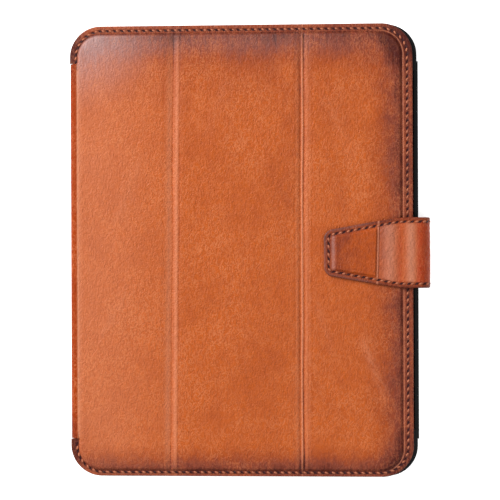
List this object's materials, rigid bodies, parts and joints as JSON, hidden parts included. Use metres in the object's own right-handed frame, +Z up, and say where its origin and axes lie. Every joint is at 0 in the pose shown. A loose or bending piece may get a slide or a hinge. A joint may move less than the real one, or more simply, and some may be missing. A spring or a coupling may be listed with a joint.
{
  "type": "e-reader in a folio cover",
  "caption": "Slim electronic-paper reader held in a moulded tray inside a tri-fold burnished leather folio that closes with a magnetic strap.",
  "frame": {"origin": "middle of the folio's back face, on the surface that it lies on", "axes": "+Z up out of the closed front cover, +X towards the closing strap, +Y towards the top of the page"},
  "size_m": [0.2012, 0.253, 0.0159],
  "materials": {
    "tan_leather": "burnished aniline leather, satin",
    "strap_leather": "burnished leather, satin",
    "microfibre": "brushed microfibre",
    "suede": "suede",
    "greyboard": "plain",
    "foam": "thin foam sheet",
    "black_shell": "fine moulded texture",
    "magnet_plating": "nickel plated",
    "keeper_steel": "rolled steel",
    "housing": "soft-touch",
    "bezel": "soft-touch",
    "magnesium": "chemically treated casting",
    "battery_foil": "foil pouch",
    "circuit_board": "solder mask",
    "tin": "tinned",
    "chip_resin": "moulded resin",
    "connector_steel": "stainless",
    "polyimide": "film",
    "paper_display": "matte electronic paper",
    "clear_guide": "clear",
    "etched_glass": "etched anti-glare",
    "rubber_foam": "closed-cell foam",
    "key_plastic": "satin",
    "screw_steel": "zinc plated"
  },
  "bodies": {
    "reader_and_back": {"back_leather": "tan_leather", "back_board": "greyboard", "tray_shell": "black_shell", "tray_lining": "microfibre", "strap_root": "strap_leather", "spine_bend_back": "tan_leather", "rear_housing": "housing", "mid_frame": "magnesium", "frame_screws": "screw_steel", "battery_pack": "battery_foil", "main_board": "circuit_board", "shield_can": "tin", "board_chips": "chip_resin", "battery_connector": "chip_resin", "usb_port": "connector_steel", "wifi_aerial": "polyimide", "display_panel": "paper_display", "light_guide": "clear_guide", "cover_glass": "etched_glass", "screen_gasket": "rubber_foam", "light_strip": "chip_resin", "display_ribbon": "polyimide", "front_bezel": "bezel", "key_board": "circuit_board", "key_domes": "tin", "power_switch": "chip_resin"},
    "spine": {"spine_leather": "tan_leather", "spine_board": "greyboard", "spine_lining": "microfibre", "spine_bend_front": "tan_leather"},
    "panel_1": {"panel_1_leather": "tan_leather", "panel_1_foam": "foam", "panel_1_board": "greyboard", "panel_1_lining": "microfibre", "fold_1_strip": "tan_leather"},
    "panel_2": {"panel_2_leather": "tan_leather", "panel_2_foam": "foam", "panel_2_board": "greyboard", "panel_2_lining": "microfibre", "fold_2_strip": "tan_leather"},
    "panel_3": {"panel_3_leather": "tan_leather", "panel_3_foam": "foam", "panel_3_board": "greyboard", "panel_3_lining": "microfibre", "cover_magnets": "magnet_plating", "strap_keeper": "keeper_steel"},
    "strap_side": {"strap_side_leather": "strap_leather", "strap_side_lining": "suede", "strap_bend_lower": "strap_leather"},
    "strap_tab": {"strap_tab_leather": "strap_leather", "strap_tab_lining": "suede", "strap_tab_insert": "greyboard", "strap_magnet": "magnet_plating", "strap_bend_upper": "strap_leather"},
    "page_back": {"page_back_key": "key_plastic"},
    "page_forward": {"page_forward_key": "key_plastic"},
    "power": {"power_key": "key_plastic"}
  },
  "joints": [
    {"name": "spine_hinge", "type": "hinge", "parent": "reader_and_back", "child": "spine", "pos_m": [-0.0962, 0, 0.00145], "axis": [0, -1, 0], "range_deg": [0, 90], "deforming": ["spine_bend_back"]},
    {"name": "cover_hinge", "type": "hinge", "parent": "spine", "child": "panel_1", "pos_m": [-0.096, 0, 0.01185], "axis": [0, -1, 0], "range_deg": [0, 90], "deforming": ["spine_bend_front"]},
    {"name": "fold_1", "type": "hinge", "parent": "panel_1", "child": "panel_2", "pos_m": [-0.0404, 0, 0.0118], "axis": [0, 1, 0], "range_deg": [-120, 0], "deforming": ["fold_1_strip"]},
    {"name": "fold_2", "type": "hinge", "parent": "panel_2", "child": "panel_3", "pos_m": [0.0331, 0, 0.0118], "axis": [0, 1, 0], "range_deg": [-120, 0], "deforming": ["fold_2_strip"]},
    {"name": "strap_edge_hinge", "type": "hinge", "parent": "reader_and_back", "child": "strap_side", "pos_m": [0.10255, -0.0019, 0.00165], "axis": [0, 1, 0], "range_deg": [0, 85], "deforming": ["strap_bend_lower"]},
    {"name": "strap_tab_hinge", "type": "hinge", "parent": "strap_side", "child": "strap_tab", "pos_m": [0.10209, -0.0019, 0.01309], "axis": [0, 1, 0], "range_deg": [0, 85], "deforming": ["strap_bend_upper"]},
    {"name": "travel_page_back", "type": "slide", "parent": "reader_and_back", "child": "page_back", "axis": [0, 0, -1], "range_m": [0, 0.00035], "stiffness_N_per_m": 3500, "springref_m": -0.0001},
    {"name": "travel_page_forward", "type": "slide", "parent": "reader_and_back", "child": "page_forward", "axis": [0, 0, -1], "range_m": [0, 0.00035], "stiffness_N_per_m": 3500, "springref_m": -0.0001},
    {"name": "travel_power", "type": "slide", "parent": "reader_and_back", "child": "power", "axis": [0, -1, 0], "range_m": [0, 0.00035], "stiffness_N_per_m": 3500, "springref_m": -0.0001}
  ],
  "couplings": [
    {"joint": "fold_2", "follows": "fold_1", "ratio": 1}
  ]
}
